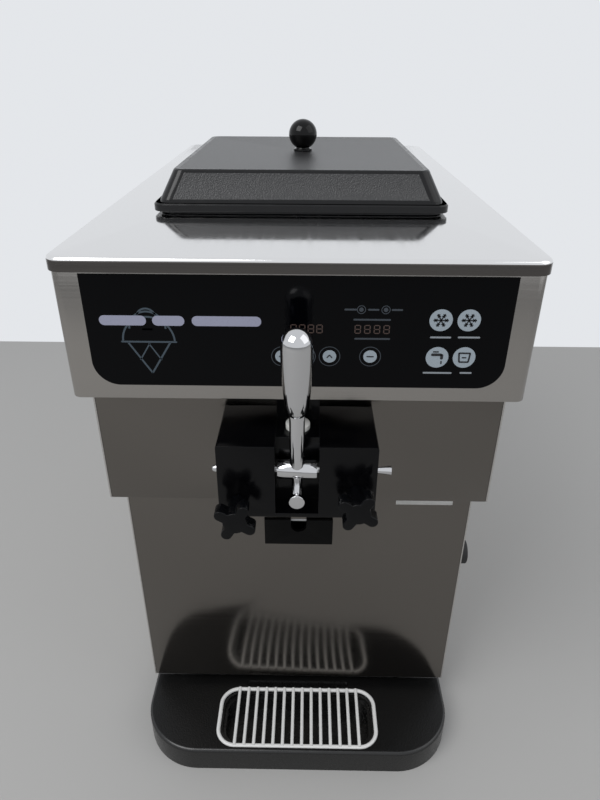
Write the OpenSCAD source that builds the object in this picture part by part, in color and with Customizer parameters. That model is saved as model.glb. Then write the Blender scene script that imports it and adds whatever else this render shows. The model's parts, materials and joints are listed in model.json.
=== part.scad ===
// Counter-top soft-serve ice cream maker, one flavour, air cooled.
// Millimetres. X runs across the front, Y from the customer's side to the back, Z up from the worktop.
// Inside the modules, y is counted from the front face of the control housing and z from the worktop;
// placed() then moves everything so that the origin is at the middle of the whole footprint.

/* [Casing] */
// Width of the casing
body_w = 390; // [340:1:480]
// Depth of the casing, from the control housing's face to the rear panel
body_d = 690; // [600:1:840]
// Height of the stainless top above the worktop
top_z = 653; // [600:1:780]
// Height of the feet, which is the height of the base pan
foot_h = 48; // [36:1:62]
// Height of the control housing, from the top down
control_h = 124; // [110:1:150]
// Height of the middle front, below the control housing
mid_h = 143; // [135:1:175]
// How far the middle front stands behind the control housing
mid_back = 46; // [36:1:60]
// How far the lower front stands behind the control housing
low_back = 94; // [75:1:115]
// Sheet metal thickness
sheet = 1.5; // [1:0.1:2]
// How far the top panel's rim stands over the casing
rim_over = 3; // [2:0.5:4]
// Height of the top panel's turned-down rim
rim_h = 12; // [8:0.5:12]
// Radius of the top panel's corners
rim_r = 14; // [8:1:20]
// Radius of the control housing's upright corners
housing_r = 8; // [5:0.5:12]
// Diameter of a foot's pad
foot_d = 40; // [30:1:50]
// Width of the control overlay
overlay_w = 344; // [310:1:360]
// Height of the control overlay
overlay_h = 97; // [85:1:100]
// Radius of the overlay's lower corners
overlay_r = 22; // [10:1:30]

/* [Hopper and lid] */
// Inside width of the mix hopper
hopper_w = 236; // [200:1:240]
// Inside length of the mix hopper
hopper_l = 256; // [220:1:270]
// Inside depth of the mix hopper
hopper_depth = 121; // [100:1:124]
// Distance of the hopper's centre behind the control housing's face
hopper_y = 303; // [290:1:330]
// Width of the lid's flange
lid_w = 286; // [280:1:300]
// Length of the lid's flange
lid_l = 321; // [300:1:330]
// Height of the lid above its flange
lid_rise = 29; // [18:1:40]
// How far the lid's sides lean in
lid_lean = 14; // [10:1:24]
// Diameter of the lid's ball knob
ball_d = 32; // [26:1:38]

/* [Freezing cylinder] */
// Inside diameter of the freezing cylinder
bore_d = 58; // [52:1:60]
// Length of the freezing cylinder behind its flange
cylinder_l = 266; // [230:1:290]
// Wall of the freezing cylinder
cylinder_wall = 2; // [1.5:0.1:3]
// Diameter of the beater's shaft
shaft_d = 12; // [10:0.5:13]
// Diameter of the evaporator's copper tube
coil_d = 7; // [6:0.5:8]

/* [Dispensing head] */
// Width of the dispensing head
head_w = 140; // [134:1:170]
// Height of the dispensing head
head_h = 75; // [68:1:80]
// How far the head stands out from the middle front
head_t = 72.5; // [70:0.5:84]
// Height of the head's underside above the middle front's lower edge
head_up = 36.5; // [30:0.5:45]
// Width of the lever slot in the head
slot_w = 38.8; // [36:0.1:42]
// Depth of the lever slot in the head
slot_t = 22.7; // [22:0.1:24]
// Diameter of the draw piston
piston_d = 22; // [18:0.5:22]
// Diameter of the hand knobs across their lobes
knob_d = 39; // [34:1:44]
// Distance of the hand knobs from the middle
knob_x = 52.5; // [49:0.5:54]

/* [Lever] */
// Length of the lever from its pivot to the tip of the handle
lever_l = 150.5; // [130:0.5:180]
// Diameter of the chromed handle
handle_d = 24.8; // [20:0.2:30]
// Diameter of the lever's rod
rod_d = 13; // [10:0.5:14]
// How far the lever leans towards the customer, in degrees
lean = 13.4; // [5:0.1:16]
// Diameter of the pivot pin
pin_d = 7; // [5:0.5:8]

/* [Drip tray] */
// Length of the drip tray, front to back
tray_l = 112; // [100:1:118]
// Height of the drip tray
tray_h = 36; // [26:1:44]
// Radius of the drip tray's front corners
tray_r = 70; // [40:1:90]
// Width of the wire grille
grille_w = 206; // [160:1:240]
// Length of the wire grille, front to back
grille_l = 84; // [70:1:86]
// Number of bars in the wire grille
bars = 14; // [8:1:16]
// Width of the drip drawer's front
drawer_w = 79; // [60:1:100]
// Height of the drip drawer's front
drawer_h = 36; // [30:1:44]
// Length of the drip drawer
drawer_l = 250; // [200:1:280]

/* [Cooling] */
// Diameter of the condenser fan
fan_d = 210; // [160:1:230]
// Diameter of the compressor's shell
comp_d = 150; // [120:1:160]
// Height of the compressor's shell
comp_h = 175; // [150:1:190]
// Diameter of the refrigerant pipes
pipe_d = 8; // [6:0.5:9]

/* [Hidden] */
$fn = 64;

// Clearances
run_gap = 0.05;      // running fit, on the radius
free_gap = 0.3;      // between pieces that only lie beside each other
seat_gap = 0.5;      // between drop-in pieces

// Levels
house_z = top_z - control_h;
mid_z = house_z - mid_h;
rim_z = top_z - rim_h;
inner_top = top_z - sheet;
half_w = body_w / 2;

// Head, piston and lever places
head_z = mid_z + head_up;
head_front = mid_back - head_t;
axis_z = head_z + head_h / 2;
pivot_y = head_front + 10.5;
pivot_z = head_z + head_h - 29.5;
slot_back = head_front + slot_t;
piston_y = pivot_y + 30;
handle_tip_y = pivot_y - (lever_l - handle_d / 2) * sin(lean) - handle_d / 2;
gland_out = 12;
mid_y = (body_d + gland_out + handle_tip_y) / 2;

// Draw linkage: the arm swings half below and half above the level
arm_r = 27.5;
pull = 28;
arm_tip_r = 4.2;
arm_half = 2;

// Cylinder
flange_t = 8;
cyl_front = mid_back;
cyl_end = mid_back + flange_t + cylinder_l;
cyl_ro = bore_d / 2 + cylinder_wall;
bore_r = bore_d / 2;
end_t = 8;
foam_r = cyl_ro + coil_d + 12;
stub_y = hopper_y - hopper_l / 2 + 36;
stub_top = axis_z + foam_r;

// Hopper and lid levels
hopper_wall = 1.5;
hopper_floor = top_z - hopper_depth;
collar_h = 3;
lid_z = top_z + collar_h;
flange_h = 7.5;
lid_wall = 3;
lid_top = lid_z + flange_h + lid_rise;
collar_in = 9.5;

// Tray
tray_front = -6;

// Drawer
drawer_top = mid_z - 65;
drawer_z = drawer_top - drawer_h;
box_w = drawer_w - 9;
box_h = drawer_h - 8;

module placed() translate([0, -mid_y, 0]) children();

// A rectangle with four round corners, centred
module rrect(w, l, r) {
    square([w - 2 * r, l], center = true);
    square([w, l - 2 * r], center = true);
    for (sx = [-1, 1], sy = [-1, 1])
        translate([sx * (w / 2 - r), sy * (l / 2 - r)]) circle(r);
}

// A box from one corner to the opposite one
module block(a, b) translate(a) cube(b - a);

// A cylinder along Y or X from a point
module rod_y(p, r, l) translate(p) rotate([-90, 0, 0]) cylinder(r = r, h = l);
module rod_x(p, r, l) translate(p) rotate([0, 90, 0]) cylinder(r = r, h = l);

// ---------------------------------------------------------------- casing

screw_r = 2;
screw_head_r = 4.5;
rear_screws = [for (sx = [-1, 1], z = [foot_h + 30, (foot_h + top_z) / 2,
        rim_z - 30]) [sx * (half_w - 10.5), z]];

module top_panel() color("gainsboro") placed()
    translate([0, body_d / 2, 0]) difference() {
        translate([0, 0, rim_z]) linear_extrude(rim_h)
            rrect(body_w + 2 * rim_over, body_d + 2 * rim_over, rim_r);
        translate([0, 0, rim_z - 1]) linear_extrude(rim_h - sheet + 1)
            rrect(body_w + 2 * rim_over - 2 * sheet, body_d + 2 * rim_over - 2 * sheet, rim_r - sheet);
        translate([0, hopper_y - body_d / 2, top_z - 2 * sheet]) linear_extrude(3 * sheet)
            rrect(hopper_w + 2 * hopper_wall + 2 * seat_gap, hopper_l + 2 * hopper_wall + 2 * seat_gap, 24);
    }

// Plan of the control housing: rounded at its two front corners
house_d = 60;
module house_plan(inset) difference() {
    union() {
        translate([-half_w + inset, housing_r])
            square([body_w - 2 * inset, house_d - housing_r + (inset > 0 ? 1 : 0)]);
        translate([-half_w + housing_r, inset]) square([body_w - 2 * housing_r, housing_r]);
        for (sx = [-1, 1])
            translate([sx * (half_w - housing_r), housing_r]) circle(housing_r - inset);
    }
}

display_x = [7, 60];
display_w = 30;
display_h = 10;
display_z = rim_z - 46;

module front_housing() color("silver") placed() difference() {
    union() {
        difference() {
            translate([0, 0, house_z]) linear_extrude(inner_top - house_z) house_plan(0);
            translate([0, 0, house_z - 1]) linear_extrude(inner_top + 2 - house_z) house_plan(sheet);
        }
        block([-half_w + housing_r, sheet, house_z], [half_w - housing_r, mid_back, house_z + sheet]);
    }
    for (x = display_x)
        block([x - display_w / 2, -1, display_z - display_h / 2],
                [x + display_w / 2, sheet + 1, display_z + display_h / 2]);
}

overlay_t = 0.8;
overlay_top = rim_z - 1.6;
module control_overlay() color("black") placed() translate([0, 0, overlay_top]) rotate([90, 0, 0])
    linear_extrude(overlay_t) {
        translate([-overlay_w / 2, -overlay_h + overlay_r]) square([overlay_w, overlay_h - overlay_r]);
        translate([-overlay_w / 2 + overlay_r, -overlay_h]) square([overlay_w - 2 * overlay_r,
                overlay_r + 1]);
        for (sx = [-1, 1])
            translate([sx * (overlay_w / 2 - overlay_r), -overlay_h + overlay_r]) circle(overlay_r);
    }

board_y = 14;
module control_board() color("darkgreen") placed() difference() {
    union() {
        block([-55, board_y, house_z + 14], [165, board_y + 1.6, rim_z - 20]);
        for (x = [-48, 158], z = [house_z + 20, rim_z - 26])
            rod_y([x, sheet, z], 4, board_y - sheet);
    }
    for (x = display_x)
        block([x - 4, board_y - 1, display_z - 2], [x + 4, board_y + 3, display_z + 2]);
}

module display_modules() color("dimgray") placed() for (x = display_x)
    block([x - display_w / 2 + free_gap, 0.2, display_z - display_h / 2 + free_gap],
          [x + display_w / 2 - free_gap, board_y, display_z + display_h / 2 - free_gap]);

panel_x = half_w - sheet;
flange_w = head_w - 8;
flange_hh = head_h - 2;

module mid_front_panel() color("silver") placed() difference() {
    union() {
        block([-panel_x, mid_back, mid_z], [panel_x, mid_back + sheet, house_z + sheet]);
        block([-panel_x, mid_back, mid_z], [panel_x, low_back, mid_z + sheet]);
        block([-panel_x, mid_back, house_z], [panel_x, mid_back + 10, house_z + sheet]);
    }
    block([-flange_w / 2 - seat_gap, mid_back - 1, axis_z - flange_hh / 2 - seat_gap],
          [flange_w / 2 + seat_gap, mid_back + sheet + 1, axis_z + flange_hh / 2 + seat_gap]);
}

module lower_front_panel() color("silver") placed() difference() {
    union() {
        block([-panel_x, low_back, foot_h], [panel_x, low_back + sheet, mid_z + sheet]);
        block([-panel_x, low_back, foot_h], [panel_x, low_back + 14, foot_h + sheet]);
    }
    block([-box_w / 2 - 3, low_back - 1, drawer_z + 1],
            [box_w / 2 + 3, low_back + sheet + 1, drawer_z + 1 + box_h + 6]);
}

// Room for the round rear corners of the top panel's rim
module corner_relief() for (sx = [-1, 1])
    block([sx > 0 ? half_w + rim_over - rim_r : -body_w, body_d + rim_over - rim_r, rim_z - 0.5],
          [sx > 0 ? body_w : -half_w - rim_over + rim_r, body_d + 10, top_z + 10]);

// One side, as a stepped sheet with cooling slots; sign is -1 for the left and 1 for the right
slot_count = 15;
side_z0 = foot_h;
module side_sheet(sign) color("silver") placed() difference() {
    translate([sign > 0 ? panel_x : -half_w, 0, 0]) rotate([90, 0, 90]) linear_extrude(sheet) {
        translate([low_back, side_z0]) square([body_d - low_back, inner_top - side_z0]);
        translate([mid_back, mid_z]) square([body_d - mid_back, house_z - mid_z]);
        translate([house_d, house_z - 1]) square([body_d - house_d, inner_top - house_z + 1]);
    }
    corner_relief();
    for (i = [0 : slot_count - 1], y = [fan_y - 85, fan_y + 5])
        block([sign * half_w - 5, y, fan_z - 98 + i * 14],
                [sign * half_w + 5, y + 80, fan_z - 93 + i * 14]);
}
module side_panel_left() side_sheet(-1);
module side_panel_right() side_sheet(1);

gland_x = -110;
gland_z = foot_h + 70;
module rear_panel() color("silver") placed() difference() {
    block([-panel_x, body_d - sheet, foot_h], [panel_x, body_d, inner_top]);
    corner_relief();
    for (p = rear_screws) rod_y([p[0], body_d - sheet - 1, p[1]], screw_r + 0.1, sheet + 2);
    rod_y([gland_x, body_d - sheet - 1, gland_z], 9.2, sheet + 2);
    for (i = [0 : 11])
        block([-90, body_d - 5, foot_h + 190 + i * 14], [90, body_d + 5, foot_h + 195 + i * 14]);
}

module panel_screws() color("silver") placed() for (p = rear_screws) {
    rod_y([p[0], body_d - 8, p[1]], screw_r, 8);
    rod_y([p[0], body_d, p[1]], screw_head_r, 2.2);
}

base_in = 16;
feet = [for (sx = [-1, 1], y = [low_back + 46, body_d - 46]) [sx * (half_w - 42), y]];
module base_pan() color("darkgray") placed() difference() {
    union() {
        block([-panel_x, low_back + base_in, foot_h], [panel_x, body_d - sheet, foot_h + 2]);
        for (sx = [-1, 1])
            block([sx > 0 ? post_x - 3 : -post_x + 1, low_back + base_in, foot_h],
                  [sx > 0 ? post_x - 1 : -post_x + 3, body_d - sheet, foot_h + 14]);
    }
    for (p = feet) translate([p[0], p[1], foot_h - 1]) cylinder(r = 5.2, h = 4);
}

// Four posts and the rails between them
post = 18;
post_x = panel_x - post;
rail_z = inner_top - post;
post_y = [low_back + base_in, body_d - sheet - post];
module chassis_frame() color("gray") placed() difference() {
    for (sx = [-1, 1]) {
        for (y = post_y)
            block([sx > 0 ? post_x : -post_x - post, y, foot_h + 2],
                    [sx > 0 ? post_x + post : -post_x, y + post, rail_z + post]);
        block([sx > 0 ? post_x : -post_x - post, post_y[0], rail_z],
                [sx > 0 ? post_x + post : -post_x, post_y[1] + post, rail_z + post]);
        block([sx > 0 ? post_x : -post_x - post, post_y[0], shelf_z - post],
                [sx > 0 ? post_x + post : -post_x, post_y[1] + post, shelf_z]);
    }
    corner_relief();
    for (p = rear_screws) rod_y([p[0], body_d - 12, p[1]], screw_r + 0.02, 20);
}

module foot_stems() color("silver") placed() for (p = feet) translate([p[0], p[1], 0]) {
    translate([0, 0, pad_h]) cylinder(r = foot_d / 2 - 5, h = foot_h - pad_h);
    translate([0, 0, foot_h - 1]) cylinder(r = 5, h = 15);
}
pad_h = 15;
module foot_pads() color("dimgray") placed() for (p = feet) translate([p[0], p[1], 0])
    cylinder(r = foot_d / 2, h = pad_h);

// ---------------------------------------------------------------- hopper and lid

hopper_r = 22;
module hopper() color("lightgray") placed() translate([0, hopper_y, 0]) difference() {
    union() {
        translate([0, 0, hopper_floor - hopper_wall]) linear_extrude(hopper_depth + hopper_wall)
            rrect(hopper_w + 2 * hopper_wall, hopper_l + 2 * hopper_wall, hopper_r + hopper_wall);
        translate([0, 0, top_z]) linear_extrude(hopper_wall)
            rrect(hopper_w + 20, hopper_l + 20, hopper_r + 10);
        translate([0, stub_y - hopper_y, stub_top]) cylinder(r = 15, h = hopper_floor - stub_top);
    }
    translate([0, 0, hopper_floor]) linear_extrude(hopper_depth + 10)
        rrect(hopper_w, hopper_l, hopper_r);
    translate([0, stub_y - hopper_y, stub_top - 1]) cylinder(r = 9, h = 60);
}

module hopper_collar() color("black") placed() translate([0, hopper_y, top_z]) difference() {
    linear_extrude(collar_h) rrect(lid_w - 8, lid_l - 8, 16);
    translate([0, 0, -1]) linear_extrude(collar_h + 2) rrect(lid_w - 8 - 2 * collar_in,
            lid_l - 8 - 2 * collar_in, 33);
}

// The lid's flat-topped roof, as a frustum with rounded edges
module roof(w, l, z0, z1, lean_in, r) hull() for (sx = [-1, 1], sy = [-1, 1]) {
    translate([sx * (w / 2 - r), sy * (l / 2 - r), z0]) cylinder(r = r, h = 0.5, $fn = 32);
    translate([sx * (w / 2 - lean_in - r), sy * (l / 2 - lean_in - r), z1 - 0.5]) cylinder(r = r,
            h = 0.5, $fn = 32);
}

lid_inset = 5;
module hopper_lid() color("black") placed() translate([0, hopper_y, 0]) difference() {
    union() {
        translate([0, 0, lid_z]) linear_extrude(flange_h) rrect(lid_w, lid_l, 12);
        translate([0, 0, lid_z - 1]) linear_extrude(4)
            rrect(lid_w - 8 - 2 * collar_in - 2, lid_l - 8 - 2 * collar_in - 2, 31);
        roof(lid_w - 2 * lid_inset, lid_l - 2 * lid_inset, lid_z + flange_h - 1, lid_top, lid_lean, 8);
    }
    translate([0, 0, lid_z - 4]) linear_extrude(flange_h + 3)
        rrect(lid_w - 8 - 2 * collar_in - 8, lid_l - 8 - 2 * collar_in - 8, 28);
    roof(lid_w - 2 * lid_inset - 12, lid_l - 2 * lid_inset - 12, lid_z + flange_h - 2,
            lid_top - lid_wall, lid_lean - 3, 8);
    translate([0, 0, lid_top - lid_wall - 1]) cylinder(r = 3.1, h = lid_wall + 2);
}

ball_z = lid_top + 17.5;
module lid_knob() color("black") placed() translate([0, hopper_y, 0]) difference() {
    union() {
        translate([0, 0, ball_z]) sphere(ball_d / 2);
        translate([0, 0, lid_top]) cylinder(r = 8, h = ball_z - lid_top);
        translate([0, 0, lid_top]) cylinder(r = 10.5, h = 2.5);
    }
    translate([0, 0, lid_top - 1]) cylinder(r = 3.1, h = 15);
}

module lid_knob_screw() color("silver") placed() translate([0, hopper_y, 0]) {
    translate([0, 0, lid_top - lid_wall - 3]) cylinder(r = 6, h = 3);
    translate([0, 0, lid_top - lid_wall - 1]) cylinder(r = 3, h = lid_wall + 12);
}

feed_top = top_z - 22;
module feed_tube() color("white") placed() translate([0, stub_y, 0]) difference() {
    union() {
        translate([0, 0, stub_top + 2]) cylinder(r = 9 - run_gap, h = hopper_floor - stub_top + 12);
        translate([0, 0, hopper_floor]) cylinder(r = 14, h = 5);
        translate([0, 0, hopper_floor]) cylinder(r = 7, h = feed_top - hopper_floor);
    }
    translate([0, 0, stub_top]) cylinder(r = 4.5, h = feed_top - stub_top + 5);
    rod_x([-20, 0, hopper_floor + 22], 3, 40);
}

// ---------------------------------------------------------------- freezing cylinder and drive

stud_z = [head_z + 16.5, head_z + 28];
stud_r = 4;

module freezing_cylinder() color("silver") placed() difference() {
    union() {
        block([-flange_w / 2, cyl_front, axis_z - flange_hh / 2],
                [flange_w / 2, cyl_front + flange_t, axis_z + flange_hh / 2]);
        block([-flange_w / 2 - 8, cyl_front + sheet, axis_z - flange_hh / 2 - 6],
              [flange_w / 2 + 8, cyl_front + flange_t, axis_z + flange_hh / 2 + 6]);
        rod_y([0, cyl_front + 1, axis_z], cyl_ro, cyl_end - cyl_front - 1);
        translate([0, stub_y, axis_z + bore_r - 6]) cylinder(r = 13, h = stub_top - axis_z - bore_r + 6);
    }
    rod_y([0, cyl_front - 1, axis_z], bore_r, cyl_end - cyl_front - end_t + 1);
    rod_y([0, cyl_front, axis_z], shaft_d / 2 + 3, cyl_end - cyl_front + 5);
    translate([0, stub_y, axis_z + bore_r - 12]) cylinder(r = 9, h = 60);
    for (i = [0, 1]) rod_y([(i * 2 - 1) * knob_x, cyl_front - 1, stud_z[i]], stud_r + run_gap,
            flange_t + 2);
}

// A tube swept along points: each ring is square to the path
function unit(v) = v / norm(v);
function side_of(t) = abs(t[2]) < 0.9 ? unit(cross(t, [0, 0, 1])) : unit(cross(t, [0, 1, 0]));
function tangents(p) = [for (i = [0 : len(p) - 1]) unit(p[min(i + 1, len(p) - 1)] - p[max(i - 1, 0)])];
module swept(points, r, sides) {
    t = tangents(points);
    rings = [for (i = [0 : len(points) - 1])
        let (a = side_of(t[i]), b = cross(t[i], a))
            [for (k = [0 : sides - 1]) points[i] + r * (cos(360 * k / sides) * a + sin(360 * k / sides) * b)]];
    flat = [for (ring = rings) each ring];
    last = (len(points) - 1) * sides;
    polyhedron(flat, concat(
        [[for (k = [0 : sides - 1]) k]],
        [[for (k = [sides - 1 : -1 : 0]) last + k]],
        [for (i = [0 : len(points) - 2], k = [0 : sides - 1])
            let (a = i * sides + k, b = i * sides + (k + 1) % sides)
                each [[a, a + sides, b + sides], [a, b + sides, b]]]));
}

coil_steps = 14;
coil_r = (cyl_ro + coil_d / 2 + free_gap) / cos(180 / coil_steps);
stub_keep = 13 + coil_d / 2 + free_gap;
module evaporator_coil() color("peru") placed()
    for (part = [[cyl_front + flange_t + 12, stub_y - stub_keep - 2],
            [stub_y + stub_keep + 2, cyl_end - 12]])
        let (n = floor((part[1] - part[0]) / (coil_d + 5)) * coil_steps)
            swept([for (i = [0 : n]) let (a = 360 * i / coil_steps)
                [coil_r * cos(a), part[0] + (part[1] - part[0]) * i / n, axis_z + coil_r * sin(a)]],
                coil_d / 2, 6);

module cylinder_insulation() color("khaki") placed() difference() {
    block([-foam_r, cyl_front + flange_t + free_gap, axis_z - foam_r],
            [foam_r, cyl_end + 2, stub_top - free_gap]);
    rod_y([0, cyl_front, axis_z], coil_r + coil_d / 2 + 0.6, cyl_end);
    translate([0, stub_y, axis_z]) cylinder(r = 13.4, h = 80);
}

nose_l = 10;
rear_shaft = cyl_end + 20;
module dasher_shaft() color("silver") placed() {
    rod_y([0, cyl_front - 8 - nose_l + 1, axis_z], shaft_d / 2, rear_shaft - cyl_front + 8 + nose_l - 1);
    for (y = [cyl_front + flange_t + 2, cyl_end - end_t - 6])
        difference() {
            rod_y([0, y, axis_z], bore_r - 4, 4);
            for (a = [0 : 60 : 300])
                rod_y([(bore_r - 13) * cos(a + 30), y - 1, axis_z + (bore_r - 13) * sin(a + 30)], 5, 6);
            for (a = [90, 270])
                rod_y([(bore_r - 4) * cos(a), y - 1, axis_z + (bore_r - 4) * sin(a)], 4.2, 6);
        }
}

spiral_y0 = cyl_front + flange_t + 6;
spiral_l = cyl_end - end_t - 6 - spiral_y0;
module dasher_spiral() color("silver") placed() translate([0, spiral_y0, axis_z]) rotate([-90, 0, 0])
    linear_extrude(spiral_l, twist = -900, slices = 75, $fn = 8) for (s = [-1, 1])
        translate([s > 0 ? shaft_d / 2 + 0.3 : -bore_r + 8,
                -2]) square([bore_r - 8 - shaft_d / 2 - 0.3, 4]);

module scraper_blades() color("white") placed() for (s = [-1, 1])
    rod_y([0, cyl_front + flange_t + 2, axis_z + s * (bore_r - 4)], 3.6,
            cyl_end - end_t - 2 - cyl_front - flange_t - 2);

module shaft_seal() color("black") placed() difference() {
    rod_y([0, cyl_end - end_t + 1, axis_z], shaft_d / 2 + 3 - 0.02, end_t - 1);
    rod_y([0, cyl_end - end_t, axis_z], shaft_d / 2 + run_gap, end_t + 2);
}

gear_y = cyl_end + 10;
gear_t = 62;
module gearbox() color("slategray") placed() difference() {
    union() {
        block([-45, gear_y, axis_z - 48], [45, gear_y + gear_t, axis_z + 44]);
        rod_y([0, gear_y - 6, axis_z], 20, 8);
    }
    rod_y([0, gear_y - 7, axis_z], shaft_d / 2 + run_gap, 30);
}

motor_r = 42;
motor_l = 120;
module drive_motor() color("dimgray") placed() {
    rod_y([0, gear_y + gear_t, axis_z - 4], motor_r, motor_l);
    rod_y([0, gear_y + gear_t + motor_l, axis_z - 4], motor_r - 10, 10);
    for (a = [0 : 30 : 330])
        translate([0, 0, axis_z - 4]) rotate([0, a, 0])
            block([motor_r - 2, gear_y + gear_t + 12, -1.5],
                    [motor_r + 3, gear_y + gear_t + motor_l - 12, 1.5]);
}

shelf_z = axis_z - foam_r - 3;
module motor_shelf() color("gray") placed() difference() {
    union() {
        block([-post_x - post, post_y[0] + post + 1, shelf_z], [post_x + post, post_y[1] - 1, shelf_z + 3]);
        block([-38, gear_y + 4, shelf_z + 3], [38, gear_y + gear_t - 4, axis_z - 48]);
        block([-30, gear_y + gear_t + 30, shelf_z + 3],
                [30, gear_y + gear_t + motor_l - 20, axis_z - 4 - motor_r - 3]);
    }
    translate([suction_x, suction_y, shelf_z - 1]) cylinder(r = pipe_d / 2 + 2, h = 6);
}

// ---------------------------------------------------------------- dispensing head

port_z = head_z + 15;
port_r = 7;
plug_r = bore_r - 1;
boss_w = 39.5;
boss_t = 17;
boss_h = 24;
edge = 2;
module front_head() color("black") placed() difference() {
    union() {
        translate([0, 0, axis_z]) rotate([90, 0, 0]) translate([0, 0, -mid_back]) linear_extrude(head_t)
            rrect(head_w, head_h, edge);
        block([-boss_w / 2, mid_back - boss_t, head_z + head_h - 1],
                [boss_w / 2, mid_back, head_z + head_h + boss_h]);
        rod_y([0, mid_back - 1, axis_z], plug_r, flange_t + 1);
    }
    // lever slot, open to the front and the top
    block([-slot_w / 2, head_front - 1, head_z + 4], [slot_w / 2, slot_back, head_z + head_h + 1]);
    // shallow well behind the slot, round the piston's top
    block([-slot_w / 2, slot_back - 1, head_z + head_h - 4],
            [slot_w / 2, mid_back - boss_t, head_z + head_h + 1]);
    // window for the lever's inner arm
    block([-5.5, slot_back - 1, pivot_z - 15], [5.5, piston_y, head_z + head_h + 1]);
    translate([0, piston_y, head_z - 1]) cylinder(r = piston_d / 2 + run_gap, h = head_h + 2);
    rod_y([0, piston_y, port_z], port_r, mid_back - piston_y - 5);
    rod_y([0, mid_back - 8, axis_z], plug_r - 4, flange_t + 9);
    rod_y([0, mid_back - 8 - nose_l, axis_z], shaft_d / 2 + run_gap, nose_l + 1);
    // groove for the seal
    difference() {
        rod_y([0, mid_back + 2.2, axis_z], plug_r + 1, 3.2);
        rod_y([0, mid_back + 2, axis_z], plug_r - 2, 4);
    }
    rod_x([-head_w, pivot_y, pivot_z], pin_d / 2 + run_gap, 2 * head_w);
    for (i = [0, 1]) rod_y([(i * 2 - 1) * knob_x, head_front - 1, stud_z[i]], stud_r + 0.5, head_t + 2);
}

module head_seal() color("dimgray") placed() translate([0, mid_back + 3.8, axis_z]) rotate([90, 0, 0])
    rotate_extrude() translate([plug_r - 0.5, 0]) circle(1.45, $fn = 32);

knob_reach = 30.5;
module head_studs() color("silver") placed() for (i = [0, 1])
    rod_y([(i * 2 - 1) * knob_x, head_front - knob_reach + 8, stud_z[i]], stud_r,
            head_t + knob_reach - 8 + flange_t);

knob_t = 12.5;
module cross_knob(i, turn) color("black") placed()
    translate([(i * 2 - 1) * knob_x, head_front, stud_z[i]]) rotate([90, turn, 0]) difference() {
        union() {
            cylinder(r = 8.5, h = knob_reach - knob_t + 1);
            translate([0, 0, knob_reach - knob_t]) linear_extrude(knob_t) {
                circle(10.5);
                for (a = [0 : 90 : 270]) rotate(a) {
                    translate([0, -4.8]) square([knob_d / 2 - 4.8, 9.6]);
                    translate([knob_d / 2 - 4.8, 0]) circle(4.8);
                }
            }
        }
        translate([0, 0, -1]) cylinder(r = stud_r + run_gap, h = knob_reach - 7 + 0.5);
    }
module left_knob() cross_knob(0, -59);
module right_knob() cross_knob(1, -56);

notch_h = 2 * arm_tip_r + 0.9;
arm_low = arm_r * sin(pull / 2);
piston_bottom = head_z + 4;
piston_top = head_z + head_h + 0.5;
seal_z = [piston_bottom + 2.5, piston_bottom + 21.5];
module draw_piston() color("white") placed() translate([0, piston_y, 0]) difference() {
    translate([0, 0, piston_bottom]) cylinder(r = piston_d / 2, h = piston_top - piston_bottom);
    block([-4.6, -piston_d, pivot_z - arm_low - notch_h / 2], [4.6, 2.2, pivot_z - arm_low + notch_h / 2]);
    for (z = seal_z) translate([0, 0, z]) difference() {
        translate([0, 0, -1.1]) cylinder(r = piston_d / 2 + 1, h = 2.2);
        translate([0, 0, -2]) cylinder(r = piston_d / 2 - 1.6, h = 4);
    }
}

module piston_seals() color("dimgray") placed() for (z = seal_z) translate([0, piston_y, z])
    rotate_extrude() translate([piston_d / 2 - 0.82, 0]) circle(0.75, $fn = 24);

star_r = 9;
star_in = 5.4;
nozzle_h = 11;
module nozzle() color("black") placed() translate([0, piston_y, head_z - nozzle_h]) difference() {
    union() {
        cylinder(r = 15, h = nozzle_h);
        translate([0, 0, nozzle_h - 4]) cylinder(r = 17, h = 4);
    }
    translate([0, 0, 3]) cylinder(r = 10.6, h = nozzle_h);
    translate([0, 0, -1]) linear_extrude(6)
        polygon([for (i = [0 : 11]) (i % 2 == 0 ? star_r : star_in) * [cos(i * 30), sin(i * 30)]]);
}

// ---------------------------------------------------------------- lever

knuckle_r = 8.6;
knuckle_w = 34.6;
toe = [-7.5, -24];
toe_rod_r = 4.8;
screw_turn_r = 2.5;
handle_from = 68.5;

module lever_frame() placed() translate([0, pivot_y, pivot_z]) children();

module lever_arm() color("silver") lever_frame() difference() {
    union() {
        rod_x([-knuckle_w / 2, 0, 0], knuckle_r, knuckle_w);
        rotate([lean, 0, 0]) cylinder(r = rod_d / 2, h = handle_from + 18);
        // inner arm to the piston, hanging half the pull below the level
        rotate([-pull / 2, 0, 0]) block([-4, 4, -arm_half], [4, arm_r, arm_half]);
        rotate([-pull / 2, 0, 0]) rod_x([-4, arm_r, 0], arm_tip_r, 8);
        // toe with the eye for the stop screw
        rotate([180 + atan2(toe[0], -toe[1]), 0, 0]) cylinder(r = toe_rod_r, h = norm(toe));
        translate([0, toe[0], toe[1]]) sphere(eye_r);
    }
    rod_x([-knuckle_w, 0, 0], pin_d / 2 + run_gap, 2 * knuckle_w);
    rod_y([0, toe[0] - 20, toe[1]], screw_turn_r + run_gap, 40);
}

module lever_handle() color("silver") lever_frame() rotate([lean, 0, 0]) {
    R = handle_d / 2;
    difference() {
        rotate_extrude() polygon(concat(
            [[0, handle_from], [rod_d / 2 + 1, handle_from], [9.6, handle_from + 4.5]],
            [[R, lever_l - 36], [R, lever_l - R]],
            [for (a = [5 : 5 : 90]) [R * cos(a), lever_l - R + R * sin(a)]]));
        translate([0, 0, handle_from - 1]) cylinder(r = rod_d / 2 + run_gap, h = 20);
    }
}

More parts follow.
